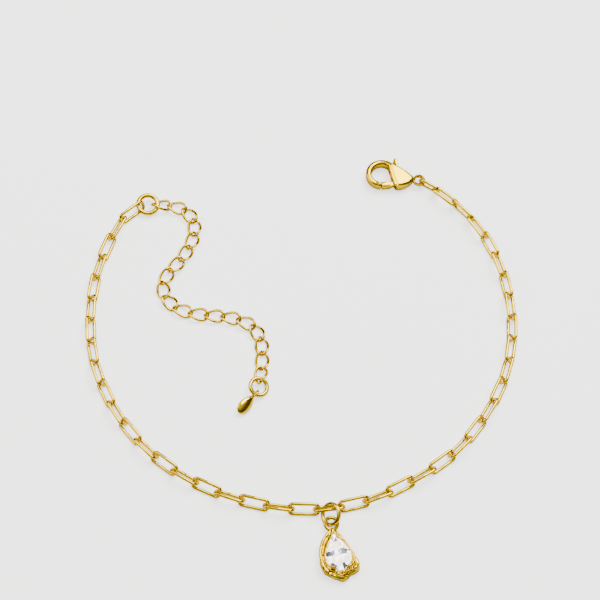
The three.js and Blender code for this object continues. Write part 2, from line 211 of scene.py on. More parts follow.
def new_material(name, values):
    """A new material, its tree, and its shader with the values that are the same all over."""
    material = bpy.data.materials.new(name)
    material.use_nodes = True
    tree = material.node_tree
    return material, tree, fill_in(tree.nodes["Principled BSDF"], values)


def link(tree, *pairs):
    """Joins each output to its input."""
    for source, target in pairs:
        tree.links.new(source, target)


# %% The polish group
POLISH_INPUTS = {"Mark Size": 900.0, "Mark Depth": 0.06, "Smooth": 0.1, "Rubbed": 0.22}
POLISH_OUTPUTS = {"Tint Mask": "Float", "Roughness": "Float", "Normal": "Vector"}


def add_sockets(group):
    """Gives the group its named sockets."""
    for name, value in POLISH_INPUTS.items():
        socket = group.interface.new_socket(name=name, in_out="INPUT", socket_type="NodeSocketFloat")
        socket.default_value = value
    for name, kind in POLISH_OUTPUTS.items():
        group.interface.new_socket(name=name, in_out="OUTPUT", socket_type="NodeSocket" + kind)


def build_polish(tree):
    """Cloudy tint, patchy roughness and fine marks, all from the piece's own coordinates."""
    sockets = tree.nodes.new("NodeGroupInput").outputs
    result = tree.nodes.new("NodeGroupOutput").inputs
    place = add_node(tree, "TexCoord").outputs["Object"]
    cloud = add_node(tree, "TexNoise", {"Scale": 260.0, "Detail": 3.0})
    marks = add_node(tree, "TexNoise", {"Detail": 6.0, "Distortion": 1.2})
    rough = add_node(tree, "MapRange", {"From Min": 0.35, "From Max": 0.7})
    bump = add_node(tree, "Bump", {"Distance": 0.00004})
    link(
        tree,
        (place, cloud.inputs["Vector"]),
        (place, marks.inputs["Vector"]),
        (sockets["Mark Size"], marks.inputs["Scale"]),
        (marks.outputs["Fac"], rough.inputs["Value"]),
        (sockets["Smooth"], rough.inputs["To Min"]),
        (sockets["Rubbed"], rough.inputs["To Max"]),
        (sockets["Mark Depth"], bump.inputs["Strength"]),
        (marks.outputs["Fac"], bump.inputs["Height"]),
        (cloud.outputs["Fac"], result["Tint Mask"]),
        (rough.outputs["Result"], result["Roughness"]),
        (bump.outputs["Normal"], result["Normal"]),
    )


polish = bpy.data.node_groups.new("polish_marks", "ShaderNodeTree")
add_sockets(polish)
build_polish(polish)
print("polish group sockets:", len(polish.interface.items_tree))

# %% [markdown]
# Three golds use the group: drawn wire, which is the palest, the clasp's pressed and tumbled sheet,
# and the charm's casting, which keeps a coarser skin. The reflected colour moves between a pale and
# a deeper gold with the tint mask. Metal turns towards white where it is seen edge on, so the
# shader's specular tint keeps the edges of the wires gold as well. There is no blue in the base
# colours, because each reflection of gold in gold loses more of it, and because bright metal fades
# to white on the screen.

# %% The gold finishes
EDGE_GOLD = (0.70, 0.44, 0.05, 1)


def gold(name, pale, deep, marks):
    """A gold material that uses the polish group with its own values."""
    material, tree, metal = new_material(name, {"Metallic": 1.0, "Specular Tint": EDGE_GOLD})
    own_marks = fill_in(add_node(tree, "Group", node_tree=polish), marks)
    tint = add_node(tree, "Mix", {"A": (*pale, 1), "B": (*deep, 1)}, data_type="RGBA")
    link(
        tree,
        (own_marks.outputs["Tint Mask"], tint.inputs["Factor"]),
        (tint.outputs["Result"], metal.inputs["Base Color"]),
        (own_marks.outputs["Roughness"], metal.inputs["Roughness"]),
        (own_marks.outputs["Normal"], metal.inputs["Normal"]),
    )
    return material


WIRE_PALE, WIRE_DEEP = (0.80, 0.57, 0.0), (0.62, 0.42, 0.0)
CLASP_PALE, CLASP_DEEP = (0.70, 0.49, 0.0), (0.52, 0.35, 0.0)
CAST_PALE, CAST_DEEP = (0.70, 0.49, 0.0), (0.44, 0.28, 0.0)
WIRE_MARKS = {"Smooth": 0.12, "Rubbed": 0.22, "Mark Depth": 0.03}
CLASP_MARKS = {"Smooth": 0.1, "Rubbed": 0.2, "Mark Size": 500.0}
CAST_MARKS = {"Smooth": 0.06, "Rubbed": 0.2, "Mark Depth": 0.15}
wire_gold = gold("wire_gold", WIRE_PALE, WIRE_DEEP, WIRE_MARKS)
clasp_gold = gold("clasp_gold", CLASP_PALE, CLASP_DEEP, CLASP_MARKS)
cast_gold = gold("cast_gold", CAST_PALE, CAST_DEEP, CAST_MARKS)
print("gold finishes:", wire_gold.name, clasp_gold.name, cast_gold.name)

# %% [markdown]
# ## The main chain
# Each link is a piece of round wire bent to a long loop with round corners. A small ring has the
# right wire and the right corners already, so the link starts as a torus that is turned by half a
# segment and then pulled apart, first lengthwise and then a little across. The wire's two ends meet
# in the middle of one long side, where the solder leaves a slight swelling. The same loop makes the
# clasp's small link, and the same swelling, turned inwards, the seam of a jump ring.

# %% A link on the bench
LINK_PITCH = 4.1
LINK_WIDTH = 1.8  # from the middle of one long wire to the other
LINK_CORNER = 0.6
LINK_WIRE = 0.28
LINK_SOLDER = {"reach": 0.14, "amount": 1.06}
WIRE_GAP = 0.1


def pull_apart(piece, axis, distance):
    """Moves a piece's two halves away from each other along one axis."""
    for side in (1, -1):
        choose(piece, lambda co: co[axis] * side > 0)
        shift = [0, 0, 0]
        shift[axis] = side * distance
        bpy.ops.transform.translate(value=shift)


def wire_loop(name, half_length, half_width, corner, wire, around=40, across=14):
    """A closed loop of round wire, long in X."""
    bpy.ops.mesh.primitive_torus_add(
        major_radius=corner, minor_radius=wire, major_segments=around, minor_segments=across
    )
    loop = fresh(name)
    edit(loop)
    bpy.ops.transform.rotate(value=math.pi / around, orient_axis="Z", center_override=(0, 0, 0))
    pull_apart(loop, 0, half_length - corner)
    pull_apart(loop, 1, half_width - corner)
    done()
    return loop


def swell(piece, middle, reach, amount):
    """Adds three cuts across the wire near a point, and swells or pinches the middle one."""
    def along_wire(co, distance):
        """Tells the wire at this point from the wire on the loop's other side."""
        return (co - middle).yz.length < 1 and abs(co.x - middle.x) < distance

    edit(piece)
    for x in (-reach, 0, reach):
        choose(piece, lambda co: along_wire(co, 3))
        bpy.ops.mesh.bisect(plane_co=(middle.x + x, 0, 0), plane_no=(1, 0, 0))
    choose(piece, lambda co: along_wire(co, reach / 4))
    bpy.ops.transform.resize(value=(1, amount, amount), center_override=middle)
    done()


link_half = (LINK_PITCH + WIRE_GAP) / 2 + LINK_WIRE
model_link = wire_loop("model_link", link_half, LINK_WIDTH / 2, LINK_CORNER, LINK_WIRE)
swell(model_link, Vector((0, -LINK_WIDTH / 2, 0)), **LINK_SOLDER)
link_length = 2 * (link_half + LINK_WIRE)
print("link outside:", round(link_length, 2), "mm, faces:", len(model_link.data.polygons))

# %% [markdown]
# The link is modelled once. Every solid link gets a copy with a mesh of its own, laid exactly where
# the solid lies, so the copies hang in each other as the solids do.

# %% Forty links
main_links = [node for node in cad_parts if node.startswith("link_")]
for node in main_links:
    lay_down(copy_of(model_link, "oval_" + node), lie_of(node), node, wire_gold)
bpy.data.objects.remove(model_link)
print("main chain links:", len(main_links))

# %% [markdown]
# ## Rings
# Round rings join the extender, the charm and the tag. A jump ring is a turn of wire whose ends are
# pushed together, so it starts as a torus and gets a narrow groove where the ends meet.

# %% Jump rings
RING_SEAM = {"reach": 0.05, "amount": 0.86}
RINGS = [
    # solid, radius, wire, seam's angle, middle, tilt about X, tilt about Y
    ("end_ring", 1.68, 0.39, 40, END_RING_AT, 7.9, -3.7),
    ("charm_ring", 1.7, 0.34, 150, (4.83, -28.09, 1.54), 20.2, 41),
    ("tag_ring", 1.46, 0.35, 75, (-6.99, -4.79, 0.912), 10, -19.9),
]


def jump_ring(name, radius, wire, seam_at):
    """A ring with a groove at an angle round it."""
    bpy.ops.mesh.primitive_torus_add(
        major_radius=radius, minor_radius=wire, major_segments=64, minor_segments=16
    )
    ring = fresh(name)
    swell(ring, Vector((0, -radius, 0)), **RING_SEAM)
    ring.data.transform(Matrix.Rotation(math.radians(seam_at), 4, "Z"))
    return ring


def ring_at(place, about_x, about_y):
    """A ring's place, leaning as it lies on its neighbours."""
    lean_x = Matrix.Rotation(math.radians(about_x), 4, "X")
    lean_y = Matrix.Rotation(math.radians(-about_y), 4, "Y")
    return standing(*place, 0) @ lean_x @ lean_y


for node, radius, wire, seam_at, middle, about_x, about_y in RINGS:
    ring = jump_ring("round_" + node, radius, wire, seam_at)
    lay_down(ring, ring_at(middle, about_x, about_y), node, wire_gold)
    print("ring:", ring.name, "wire", 2 * wire, "mm")

# %% [markdown]
# ## The extender
# A curb chain lies flat because each oval link is twisted a quarter turn. One link is drawn as a
# Bezier oval with a round bevel for the wire, made a mesh and twisted with Simple Deform. The links
# then step along a smooth line on the table, from the end ring to the tag ring.

# %% A curb link
CURB_COUNT = 19
CURB_PITCH = 2.77
CURB_WIDTH = 2.04
CURB_WIRE = 0.24
CURB_TWIST = 44
CURB_END_TURN = 20
CURB_RISE = 0.185  # how high a twisted link carries its middle, as a share of its width
CURB_SLACK = 0.02
TAG_JOINT_HEIGHT = 1.192
CURB_LINE = [
    (-25.5, 30.42), (-21.3, 30.25), (-18.9, 28.5), (-18.1, 25.6), (-20.1, 20.1), (-23.35, 16.0),
    (-23.5, 13.8), (-22.6, 11.5), (-20.6, 9.9), (-17.9, 9.1), (-12.3, 8.5), (-9.5, 7.7),
    (-7.2, 5.9), (-6.45, 3.1), (-6.45, 0.4), (-6.6, -2.3), (-6.9, -5.5),
]


def curb_link():
    """An oval of round wire, twisted about its length."""
    bpy.ops.curve.primitive_bezier_circle_add(radius=1)
    oval = fresh("model_curb")
    half_length = CURB_PITCH / 2 + CURB_WIRE + CURB_SLACK
    for point in oval.data.splines[0].bezier_points:
        for part in ("co", "handle_left", "handle_right"):
            place = getattr(point, part)
            setattr(point, part, (place.x * half_length, place.y * CURB_WIDTH / 2, 0))
    oval.data.resolution_u = 12
    oval.data.bevel_depth = CURB_WIRE
    oval.data.bevel_resolution = 4
    bpy.ops.object.convert(target="MESH")
    twist = math.radians(2 * CURB_TWIST)
    modify(oval, "SIMPLE_DEFORM", deform_method="TWIST", deform_axis="X", angle=twist)
    return oval


model_curb = curb_link()
print("curb link faces:", len(model_curb.data.polygons))

# %% [markdown]
# The line runs through a few points as a centripetal Catmull-Rom curve, which never overshoots at a
# tight bend. Joints are laid along it at equal straight steps, one pitch apart.

# %% The extender's line
def smooth_line(points, steps=75):
    """Points along a centripetal Catmull-Rom curve."""
    knots = [Vector((*p, 0)) for p in points]
    knots = [2 * knots[0] - knots[1], *knots, 2 * knots[-1] - knots[-2]]
    line = []
    for a, b, c, d in zip(knots, knots[1:], knots[2:], knots[3:]):
        before, over, after = (math.sqrt((q - p).length) for p, q in ((a, b), (b, c), (c, d)))
        leave = ((b - a) / before - (c - a) / (before + over) + (c - b) / over) * over
        reach = ((c - b) / over - (d - b) / (over + after) + (d - c) / after) * over
        for k in range(steps):
            t = k / steps
            line.append(
                b * (2 * t**3 - 3 * t**2 + 1) + leave * (t**3 - 2 * t**2 + t)
                + c * (3 * t**2 - 2 * t**3) + reach * (t**3 - t**2)
            )
    return line + [knots[-2]]


def step_along(line, pitch, count):
    """Joints along a line, each one straight pitch from the last."""
    joints = [line[0]]
    for point in line:
        step = point - joints[-1]
        if step.length >= pitch and len(joints) <= count:
            joints.append(joints[-1] + step.normalized() * pitch)
    return joints


curb_joints = step_along(smooth_line(CURB_LINE), CURB_PITCH, CURB_COUNT)
for joint in curb_joints:
    joint.z = CURB_WIRE + CURB_WIDTH * CURB_RISE
curb_joints[0].z = END_RING_AT.z
curb_joints[-1].z = TAG_JOINT_HEIGHT
print("extender joints:", len(curb_joints), "end:", [round(c, 2) for c in curb_joints[-1]])

# %% [markdown]
# Real links are all alike, so a copy isn't stretched to fit. It keeps its length and turns to face
# from one joint to the next. The first and the last lean a little, to pass through their rings.

# %% Nineteen curb links
def between(start, end, lean):
    """A link's place between two joints, leaning about its length."""
    along = (end - start).normalized()
    side = Vector((0, 0, 1)).cross(along).normalized()
    turn = Matrix((along, side, along.cross(side))).transposed().to_4x4()
    middle = origin + (start + end) / 2
    return Matrix.Translation(middle) @ turn @ Matrix.Rotation(math.radians(-lean), 4, "X")


for n in range(CURB_COUNT):
    lean = CURB_END_TURN * ((n == 0) - (n == CURB_COUNT - 1))
    curb = copy_of(model_curb, f"curb_link_{n + 1:02d}")
    lay_down(curb, between(curb_joints[n], curb_joints[n + 1], lean), "extender_chain", wire_gold)
bpy.data.objects.remove(model_curb)
print("extender links:", CURB_COUNT)

# %% [markdown]
# ## The clasp
# The claw is a flat casting with soft edges: a hook round an eye, two cheeks with the lever between
# them, and a tail ring. Such a form can be carved from a block or built from a section, but the
# shape is all in its outline. So the outline is drawn corner by corner on a circle primitive, filled
# and extruded, and a Bevel modifier rounds both rims.

# %% Outlines and plates
SAME_CORNER = 0.02  # corners closer than this become one
RIM_ANGLE = 50  # only rims that turn more than this are rounded


def arc(x, y, radius, start, end, steps):
    """Corners on a round arc, with angles in degrees."""
    turns = np.radians(np.linspace(start, end, steps + 1))
    return [(x + radius * math.cos(t), y + radius * math.sin(t)) for t in turns]


def bow(a, b, c, steps):
    """Corners on a curve from a to c that is pulled towards b."""
    shares = np.linspace(0, 1, steps + 1)
    a, b, c = (np.array(p) for p in (a, b, c))
    return [tuple((1 - t) ** 2 * a + 2 * t * (1 - t) * b + t * t * c) for t in shares]


def plate(name, outline, thick, rounding=0.0, segments=4):
    """A flat plate with an outline and rounded rims, centred on z = 0."""
    apart = [p for k, p in enumerate(outline) if math.dist(p, outline[k - 1]) > SAME_CORNER]
    bpy.ops.mesh.primitive_circle_add(vertices=len(apart), radius=1, fill_type="NGON")
    flat = fresh(name)
    for corner, (x, y) in zip(flat.data.vertices, apart):
        corner.co = (x, y, -thick / 2)
    edit(flat)
    bpy.ops.mesh.extrude_region_move(TRANSFORM_OT_translate={"value": (0, 0, thick)})
    bpy.ops.mesh.select_all(action="SELECT")
    bpy.ops.mesh.normals_make_consistent(inside=False)
    done()
    if rounding:
        modify(
            flat, "BEVEL", width=rounding, segments=segments, limit_method="ANGLE",
            angle_limit=math.radians(RIM_ANGLE), use_clamp_overlap=False,
        )
    return flat


def bar(name, start, end, low, high, *sizes):
    """A straight plate from start to end in X and from low to high in Y."""
    return plate(name, [(start, low), (end, low), (end, high), (start, high)], *sizes)


def rod(name, radius, length, x, y):
    """A round upright rod."""
    bpy.ops.mesh.primitive_cylinder_add(vertices=32, radius=radius, depth=length, location=(x, y, 0))
    return fresh(name)


def loop_at(name, radius, wire, segments, place):
    """A plain torus, moved to its place on the bench."""
    around, across = segments
    bpy.ops.mesh.primitive_torus_add(
        major_radius=radius, minor_radius=wire, major_segments=around, minor_segments=across
    )
    loop = fresh(name)
    loop.data.transform(place)
    return loop


# %% [markdown]
# The hook and cheeks are one outline. The eye's arc runs from the hook's tip to the cheeks' front
# edge, which crosses the clasp at a slant. The plate is thickest at the cheeks, so it is cut across
# at a few places and thinned towards the hook and the tail. A slot cut from the side makes the
# cheeks. Along their front edge lies a slim raised lip, a bar of its own that is joined on, with a
# shallow groove beside it that draws a dark line.

# %% The clasp's body
CLASP_THICK = 2.1
EYE_RADIUS = 1.75
HOOK_RADIUS = 2.72
SHOULDER_ANGLE = 62
HOOK_TIP_ANGLE = 280.2
EYE_ANGLES = (268.8, 60.5)
CLASP_RIM = 0.46
THICK_AT = (-0.6, 0.4, 1.5, 3.9, 5.0, 5.9)
THICK_SHARE = (0.79, 0.87, 1.0, 1.0, 0.72, 0.38)
THICK_CUTS = (-0.6, -0.1, 0.4, 0.95, 1.5, 3.9, 4.3, 4.65, 5.0, 5.3, 5.6)
TAIL_X = 6.62
TAIL_RADIUS = 0.88
TAIL_WIRE = 0.23
TAIL_HEIGHT = 1.9  # the tail ring's wire is a tall oval
SLOT_THICK = 1.14
PIVOT = (3.3, -0.5)
PIN_RADIUS = 0.3
PIN_LENGTH = CLASP_THICK - 0.3
LIP_MIDDLE = (1.98, -0.3)
LIP_ANGLE = -63.4
LIP_SINK = 0.02  # how far the lip's middle lies below the cheek
clasp_place = standing(14.06, 36.45, CLASP_THICK / 2, -10)


def claw_outline():
    """The hook, the cheeks and the eye, anticlockwise from the cheeks' lower front corner."""
    shoulder = arc(0, 0, HOOK_RADIUS, SHOULDER_ANGLE, SHOULDER_ANGLE, 0)[0]
    return (
        bow((2.75, -2.3), (4.75, -2.1), (5.65, -0.45), 10)
        + [(5.9, -0.38), (5.9, 0.34), (5.6, 0.36)]
        + bow((5.5, 0.46), (3.65, 1.5), shoulder, 12)
        + arc(0, 0, HOOK_RADIUS, SHOULDER_ANGLE, HOOK_TIP_ANGLE, 44)
        + arc(0, 0, EYE_RADIUS, *EYE_ANGLES, 36)
    )


def thin_ends(body):
    """Cuts the plate across and thins it towards the hook and the tail."""
    edit(body)
    for x in THICK_CUTS:
        bpy.ops.mesh.select_all(action="SELECT")
        bpy.ops.mesh.bisect(plane_co=(x, 0, 0), plane_no=(1, 0, 0))
    done()
    for corner in body.data.vertices:
        corner.co.z *= float(np.interp(corner.co.x, THICK_AT, THICK_SHARE))


def cheek_slot():
    """The room between the cheeks, open at both sides."""
    outline = (
        [(0.5, -3.2), (2.9, -3.2), (3.1, -1.6)]
        + arc(*PIVOT, 1.0, -100, 20, 12)
        + [(4.0, 3.6), (1.35, 3.6), (1.35, 1.2), (0.5, 1.2)]
    )
    return plate("slot", outline, SLOT_THICK)


def clasp_body():
    """The whole claw, with its pin."""
    body = plate("claw_body", claw_outline(), CLASP_THICK, CLASP_RIM, 6)
    thin_ends(body)
    tall = Matrix.Translation((TAIL_X, 0, 0)) @ Matrix.Diagonal((1, 1, TAIL_HEIGHT, 1))
    tail = loop_at("tail", TAIL_RADIUS, TAIL_WIRE, (48, 16), tall)
    combine(body, tail, "UNION")
    combine(body, cheek_slot(), "DIFFERENCE")
    combine(body, rod("pin", PIN_RADIUS, PIN_LENGTH, *PIVOT), "UNION")
    across = Matrix.Rotation(math.radians(LIP_ANGLE), 4, "Z")
    lip_place = Matrix.Translation((*LIP_MIDDLE, CLASP_THICK / 2 - LIP_SINK)) @ across
    groove = bar("groove", -2.2, 2.3, 0.2, 0.38, 0.3)
    lip = bar("lip", -2.1, 2.15, -0.24, 0.22, 0.34, 0.14, 4)
    for strip, operation in ((groove, "DIFFERENCE"), (lip, "UNION")):
        strip.data.transform(lip_place)
        combine(body, strip, operation)
    return body


claw = lay_down(clasp_body(), clasp_place, "clasp_body", clasp_gold)
print("clasp faces:", len(claw.data.polygons))

# %% [markdown]
# The lever turns between the cheeks. Its gate closes the eye and is nearly as thick as the hook, its
# blade is thin enough for the slot, and its tab stands out at the back for the thumb. It rides on a
# body of its own, so that it can swing.

# %% The lever
BLADE_THICK = 0.9
GATE_THICK = 1.5
GATE_TIP = (0.53, -2.6)
GATE_INNER = (0.09, -1.85)
PIN_HOLE = 0.4
THROUGH = 3  # the length of a tool that cuts a hole


def clasp_lever():
    """The blade with its tab, the thicker gate, and the pin's hole."""
    blade = (
        bow(GATE_INNER, (1.5, -1.7), (2.3, -0.6), 8)
        + [(2.2, 0.6), (1.6, 2.4)]
        + arc(1.98, 3.17, 0.38, 180, 0, 8)
        + [(2.5, 2.4), (3.3, 0.3)]
        + arc(*PIVOT, 0.8, 90, -90, 12)
        + bow((2.5, -1.9), (1.6, -2.5), GATE_TIP, 6)
    )
    lever = plate("sprung_lever", blade, BLADE_THICK, 0.1, 3)
    gate = [GATE_TIP, (1.95, -2.2), (1.75, -1.25), (1.2, -1.6), GATE_INNER]
    combine(lever, plate("gate", gate, GATE_THICK, 0.14, 4), "UNION")
    combine(lever, rod("pin_hole", PIN_HOLE, THROUGH, *PIVOT), "DIFFERENCE")
    return lever


lever = lay_down(clasp_lever(), clasp_place, "clasp_lever", clasp_gold, body="clasp_lever")
print("lever faces:", len(lever.data.polygons))

# %% [markdown]
# A small link joins the chain to the clasp's tail. It is shorter than the others, so it is measured
# on its solid, made a little short and pulled out to that length.

# %% The clasp's link
CONNECTOR_LOOP = (1.0, 0.85, 0.7, 0.27)  # half length, half width, corner, wire
connector = wire_loop("connector", *CONNECTOR_LOOP)
lie = lie_of("clasp_link")
from_middle = corners_of("clasp_link") - np.array(lie.translation)
connector_length = float(np.ptp(from_middle @ np.array(lie)[:3, 0]))
half_length, _, _, wire = CONNECTOR_LOOP
edit(connector)
pull_apart(connector, 0, connector_length / 2 - half_length - wire)
done()
lay_down(connector, lie, "clasp_link", wire_gold)
print("connector length:", round(connector_length, 2))

# %% [markdown]
# ## The leaf tag
# The extender ends in a small swollen leaf. A round ball is squashed and drawn to a point, and its
# eye is a small ring soldered to that point.

# %% The tag
TAG_LENGTH = 3.9
TAG_WIDTH = 2.2
TAG_THICK = 1.2
TAG_SWELL = 1.14
TAG_TIP = 0.04
TAG_EYE = 0.72
TAG_EYE_WIRE = 0.2
TAG_EYE_TURN = 80
TAG_LEAN = 40


def leaf_tag():
    """The leaf, with its tip at +Y and its eye standing nearly upright beyond it."""
    bpy.ops.mesh.primitive_uv_sphere_add(segments=48, ring_count=32, radius=1)
    leaf = fresh("leaf_tag")
    for corner in leaf.data.vertices:
        x, y, z = corner.co
        taper = math.sqrt(math.sqrt(max(0.0, (1 - y) / 2)) + TAG_TIP)
        side = x * TAG_SWELL * taper * TAG_WIDTH / 2
        corner.co = (side, y * TAG_LENGTH / 2, z * taper * TAG_THICK / 2)
    upright = Matrix.Rotation(math.radians(TAG_EYE_TURN), 4, "Y")
    beyond = Matrix.Translation((0, TAG_LENGTH / 2 + TAG_EYE - TAG_EYE_WIRE, 0))
    eye = loop_at("tag_eye", TAG_EYE, TAG_EYE_WIRE, (40, 14), beyond @ upright)
    combine(leaf, eye, "UNION")
    return leaf


leaning = Matrix.Rotation(math.radians(TAG_LEAN), 4, "Y")
tag_place = standing(-9.09, -8.07, 0.89, -38) @ leaning
tag = lay_down(leaf_tag(), tag_place, "end_tag", wire_gold)
print("tag faces:", len(tag.data.polygons))

# %% [markdown]
# ## The stone
# A pear-cut stone is a round brilliant stretched to a point. Its corners are laid in rings, the
# table, the crown's middle, the girdle and the pavilion, and a convex hull finds the flat facets
# between them, as a cutter's laps would.

# %% Cutting the stone
STONE_LENGTH = 6.3
STONE_WIDTH = 4.3
STONE_GIRDLE = 1.55
PEAR_PEAK = 0.77  # the widest that the pear's own curve gets, before it is scaled
STONE_RINGS = [
    # share of the outline, height, corners, first corner's angle
    (0.55, 0.75, 8, 0),
    (0.8, 0.5, 8, 22.5),
    (1.0, 0.07, 32, 0),
    (1.0, -0.07, 32, 0),
    (0.5, -0.85, 8, 22.5),
    (0.02, -1.3, 4, 0),
]


def pear(turn, share):
    """A point on the pear's outline. The turn, in degrees, starts at the tip."""
    t = math.radians(turn)
    across = (STONE_WIDTH / 2 / PEAR_PEAK) * math.sin(t) * abs(math.sin(t / 2))
    return (-across * share, STONE_LENGTH / 2 * math.cos(t) * share)


def cut_stone(name):
    """The stone, with its girdle at z = 0 and its table upwards."""
    places = [
        (*pear(360 * k / count + start, share), z)
        for share, z, count, start in STONE_RINGS for k in range(count)
    ]
    bpy.ops.mesh.primitive_circle_add(vertices=len(places), radius=1)
    gem = fresh(name)
    for corner, place in zip(gem.data.vertices, places):
        corner.co = place
    edit(gem)
    bpy.ops.mesh.convex_hull()
    bpy.ops.mesh.select_all(action="SELECT")
    bpy.ops.mesh.dissolve_limited(angle_limit=math.radians(0.5))
    bpy.ops.mesh.select_all(action="SELECT")
    bpy.ops.mesh.normals_make_consistent(inside=False)
    done()
    return gem


charm_place = standing(5.8, -34.6, 0, 11)
gem = cut_stone("pear_stone")
seat_tool = copy_of(gem, "seat_tool")
print("facets:", len(gem.data.polygons))

# %% [markdown]
# A clear stone looks bright because light that enters it is thrown back by the lower facets, and the
# few facets that throw it elsewhere look dark. A renderer can follow that light, but inside a stone
# of six millimetres it came out dull and grey. So the brightness is a painted glow, an emission on
# the stone that stands in for the light it throws back, and the dark and warm sparks are painted
# reflections and painted shade. Cells of a Voronoi texture stand for the facets' reflections. A ramp
# along the stone says where dark cells are common, which is in a band across the middle, at the tip
# and at the foot; these dark cells are painted shade. It is added to each cell's own chance value,
# and a second ramp turns the sum into dark blue, grey, white or a warm tint. A Mapping node turns the
# cells with the stone. Facets still shine, since the surface is glossy, with only a faint haze of
# wear.

# %% The stone's finish
BAND_REACH = 2.7 * MM
BANDS = [
    # place from foot to tip, then how bright: a low value lets many cells be dark, as painted shade
    (0.0, (0.3,)), (0.06, (0.2,)), (0.14, (0.25,)), (0.22, (0.65,)), (0.36, (0.65,)),
    (0.40, (0.0,)), (0.49, (0.0,)), (0.55, (0.65,)), (0.7, (0.6,)), (0.8, (0.3,)), (1.0, (0.3,)),
]
SPARKS = [
    # sum of band and chance, then the painted reflection or shade colour from there on
    (0.0, (0.01, 0.015, 0.03)), (0.5, (0.06, 0.08, 0.12)), (0.62, (0.4, 0.42, 0.47)),
    (0.7, (1.0, 1.0, 1.0)), (0.98, (0.72, 0.62, 0.52)),
]
CELL_STRETCH = (0.8, 1.2, 1.0)


def ramp(tree, way, stops):
    """A colour ramp. A stop with one number is a grey."""
    fade = add_node(tree, "ValToRGB")
    fade.color_ramp.interpolation = way
    marks = fade.color_ramp.elements
    while len(marks) < len(stops):
        marks.new(0.5)
    for mark, (position, color) in zip(marks, stops):
        mark.position = position
        mark.color = (*(color * 3)[:3], 1)
    return fade


def add_sparks(tree, place):
    """The painted sparks' colour, as an output socket."""
    own = add_node(
        tree, "Mapping",
        {
            "Location": charm_place.translation * MM,
            "Rotation": charm_place.to_euler(),
            "Scale": CELL_STRETCH,
        },
        vector_type="TEXTURE",
    )
    cells = add_node(tree, "TexVoronoi", {"Scale": 1600.0})
    chance = add_node(tree, "SeparateXYZ")
    split = add_node(tree, "SeparateXYZ")
    along = add_node(tree, "MapRange", {"From Min": -BAND_REACH, "From Max": BAND_REACH})
    bands = ramp(tree, "LINEAR", BANDS)
    total = add_node(tree, "Math", operation="ADD")
    sparks = ramp(tree, "CONSTANT", SPARKS)
    link(
        tree,
        (place, own.inputs["Vector"]),
        (own.outputs["Vector"], cells.inputs["Vector"]),
        (own.outputs["Vector"], split.inputs["Vector"]),
        (split.outputs["Y"], along.inputs["Value"]),
        (along.outputs["Result"], bands.inputs["Fac"]),
        (bands.outputs["Color"], total.inputs[0]),
        (cells.outputs["Color"], chance.inputs["Vector"]),
        (chance.outputs["X"], total.inputs[1]),
        (total.outputs["Value"], sparks.inputs["Fac"]),
    )
    return sparks.outputs["Color"]


def stone_finish():
    """A glossy clear stone with a painted glow and painted sparks."""
    # The emission is a painted glow: the stone's brightness and its spark colours are painted light.
    glass_and_glow = {"Transmission Weight": 0.2, "IOR": 1.55, "Emission Strength": 2.6}
    material, tree, glass = new_material("clear_stone", glass_and_glow)
    place = add_node(tree, "TexCoord").outputs["Object"]
    haze = add_node(tree, "TexNoise", {"Scale": 700.0})
    spread = add_node(tree, "MapRange", {"To Max": 0.03})
    sparks = add_sparks(tree, place)
    link(
        tree,
        (place, haze.inputs["Vector"]),
        (haze.outputs["Fac"], spread.inputs["Value"]),
        (spread.outputs["Result"], glass.inputs["Roughness"]),
        (sparks, glass.inputs["Base Color"]),
        (sparks, glass.inputs["Emission Color"]),
    )
    return material


gem_place = charm_place @ Matrix.Translation((0, 0, STONE_GIRDLE))
lay_down(gem, gem_place, "stone", stone_finish(), angle=2)
print("stone laid at", [round(c, 2) for c in gem_place.translation])

# %% [markdown]
# ## The cast setting
# The frame looks like gold that was poured round the stone and froze: a thick wall on the left, a
# thin rim on the right, and folds and pits at the foot. It is built as a modeller in wax would do
# it. A plate gives the outline, ropes of wax make the rims and the wall round the stone, and pats of
# wax make the folds and the two claws. Then a voxel remesh melts them into one skin.

# %% Wax forms
def rope(name, points, thickness):
    """A round rope of wax through x, y, z places, each with its share of the thickness."""
    bpy.ops.curve.primitive_nurbs_path_add()
    line = fresh(name)
    line.data.splines.clear()
    spline = line.data.splines.new("NURBS")
    spline.points.add(len(points) - 1)
    for point, (x, y, z, share) in zip(spline.points, points):
        point.co = (x, y, z, 1)
        point.radius = share
    spline.use_endpoint_u = True
    line.data.bevel_depth = thickness
    line.data.bevel_resolution = 4
    line.data.use_fill_caps = True
    bpy.ops.object.convert(target="MESH")
    return line


def round_stone(share, height, start, end):
    """A rope's places along the stone's outline, one in every 12 degrees."""
    return [(*pear(turn, share), height, 1.0) for turn in range(start, end, 12)]


def pat(name, x, y, z, size, turn):
    """A flattened ball of wax."""
    bpy.ops.mesh.primitive_ico_sphere_add(subdivisions=3, radius=1)
    ball = fresh(name)
    turned = Matrix.Rotation(math.radians(turn), 4, "Z")
    ball.data.transform(Matrix.Translation((x, y, z)) @ turned @ Matrix.Diagonal((*size, 1)))
    return ball


# %% Wax on the bench
FRAME_EDGE = [
    (-0.3, 4.1), (-1.5, 3.0), (-2.1, 2.3), (-2.6, 1.3), (-2.85, 0.0), (-3.0, -1.2), (-2.9, -2.3),
    (-2.5, -3.1), (-1.8, -3.7), (-1.0, -4.2), (-0.3, -4.65), (0.3, -4.8), (0.9, -4.5), (1.4, -4.0),
    (2.2, -3.85), (2.9, -3.5), (3.15, -2.8), (3.0, -1.9), (2.62, -0.7), (2.25, 0.4), (1.78, 1.6),
    (1.28, 2.6), (0.62, 3.55), (0.3, 4.1),
]
FRAME_THICK = 1.35
FRAME_MIDDLE = 0.69
FRAME_RIM = 0.3
LEFT_RIM = [
    (-0.35, 4.0, 1.1, 0.8), (-1.5, 2.9, 1.4, 0.65), (-2.25, 1.8, 1.5, 0.65), (-2.72, 0.3, 1.5, 0.65),
    (-2.8, -1.2, 1.5, 0.9), (-2.6, -2.4, 1.5, 1.3), (-2.0, -3.2, 1.35, 1.2),
]
